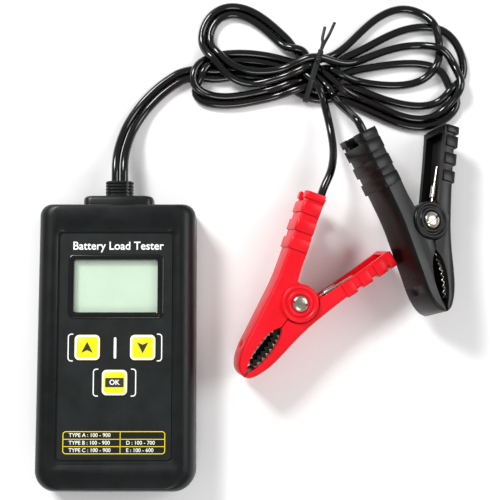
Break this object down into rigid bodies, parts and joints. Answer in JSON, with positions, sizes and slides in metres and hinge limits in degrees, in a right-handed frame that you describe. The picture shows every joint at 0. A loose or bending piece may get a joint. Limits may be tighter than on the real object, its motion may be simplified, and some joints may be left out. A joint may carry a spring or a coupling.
{
  "type": "battery tester",
  "caption": "Handheld battery tester with a display, three keys and two hanked leads that end in sprung jaw clamps.",
  "frame": {"origin": "middle of the case's flat back face, on the surface that it lies on", "axes": "+Z out of the display, +Y along the case towards the cable end, +X to the right of the display"},
  "size_m": [0.1925, 0.2215, 0.0378],
  "materials": {
    "case_plastic": "satin moulded ABS",
    "panel_film": "fine-textured printed film",
    "frame_plastic": "gloss black",
    "window_clear": "clear acrylic",
    "display_glass": "pale green display",
    "contact_rubber": "silicone contact strip",
    "board": "solder mask",
    "chip_plastic": "moulded epoxy",
    "ceramic": "white ceramic",
    "capacitor_sleeve": "shrink sleeve",
    "screw_steel": "plated steel",
    "boot_rubber": "moulded PVC",
    "wire_copper": "insulated wire",
    "key_yellow": "yellow printed key",
    "lead_pvc": "gloss PVC",
    "tie_plastic": "plastic-covered wire",
    "red_grip": "moulded plastic",
    "black_grip": "moulded plastic",
    "nickel": "nickel plate"
  },
  "bodies": {
    "root": {"rear_shell": "case_plastic", "front_shell": "case_plastic", "front_overlay": "panel_film", "lcd_frame": "frame_plastic", "lcd_window": "window_clear", "lcd_module": "display_glass", "zebra_strips": "contact_rubber", "circuit_board": "board", "tact_switches": "chip_plastic", "controller_chip": "chip_plastic", "load_resistors": "ceramic", "load_transistor": "chip_plastic", "capacitors": "capacitor_sleeve", "board_screws": "screw_steel", "case_screws": "screw_steel", "cable_boot": "boot_rubber", "board_wires": "wire_copper", "red_lead_near": "lead_pvc", "black_lead_near": "lead_pvc", "lead_hank": "lead_pvc", "twist_tie": "tie_plastic", "red_lead_far": "lead_pvc", "black_lead_far": "lead_pvc", "red_lead_grip": "red_grip", "red_lead_jaw": "nickel", "red_pivot_pin": "nickel", "red_spring": "nickel", "red_crimp": "nickel", "black_lead_grip": "black_grip", "black_lead_jaw": "nickel", "black_pivot_pin": "nickel", "black_spring": "nickel", "black_crimp": "nickel"},
    "up_key": {"up_key": "key_yellow"},
    "down_key": {"down_key": "key_yellow"},
    "enter_key": {"enter_key": "key_yellow"},
    "red_free_half": {"red_free_grip": "red_grip", "red_free_jaw": "nickel", "red_spring_leg": "nickel"},
    "black_free_half": {"black_free_grip": "black_grip", "black_free_jaw": "nickel", "black_spring_leg": "nickel"}
  },
  "joints": [
    {"name": "up_key_press", "type": "slide", "parent": "root", "child": "up_key", "axis": [0, 0, -1], "range_m": [0, 0.0006], "stiffness_N_per_m": 2500, "springref_m": -0.0002},
    {"name": "down_key_press", "type": "slide", "parent": "root", "child": "down_key", "axis": [0, 0, -1], "range_m": [0, 0.0006], "stiffness_N_per_m": 2500, "springref_m": -0.0002},
    {"name": "enter_key_press", "type": "slide", "parent": "root", "child": "enter_key", "axis": [0, 0, -1], "range_m": [0, 0.0006], "stiffness_N_per_m": 2500, "springref_m": -0.0002},
    {"name": "red_jaw_open", "type": "hinge", "parent": "root", "child": "red_free_half", "pos_m": [0.0786, 0.0194, 0.01463], "axis": [0.1652, -0.1263, 0.9781], "range_deg": [0, 38], "stiffness_Nm_per_rad": 0.5, "springref_deg": -28.65},
    {"name": "black_jaw_open", "type": "hinge", "parent": "root", "child": "black_free_half", "pos_m": [0.1333, 0.0536, 0.01855], "axis": [0.401, 0.0678, 0.9135], "range_deg": [0, 38], "stiffness_Nm_per_rad": 0.5, "springref_deg": -28.65}
  ]
}
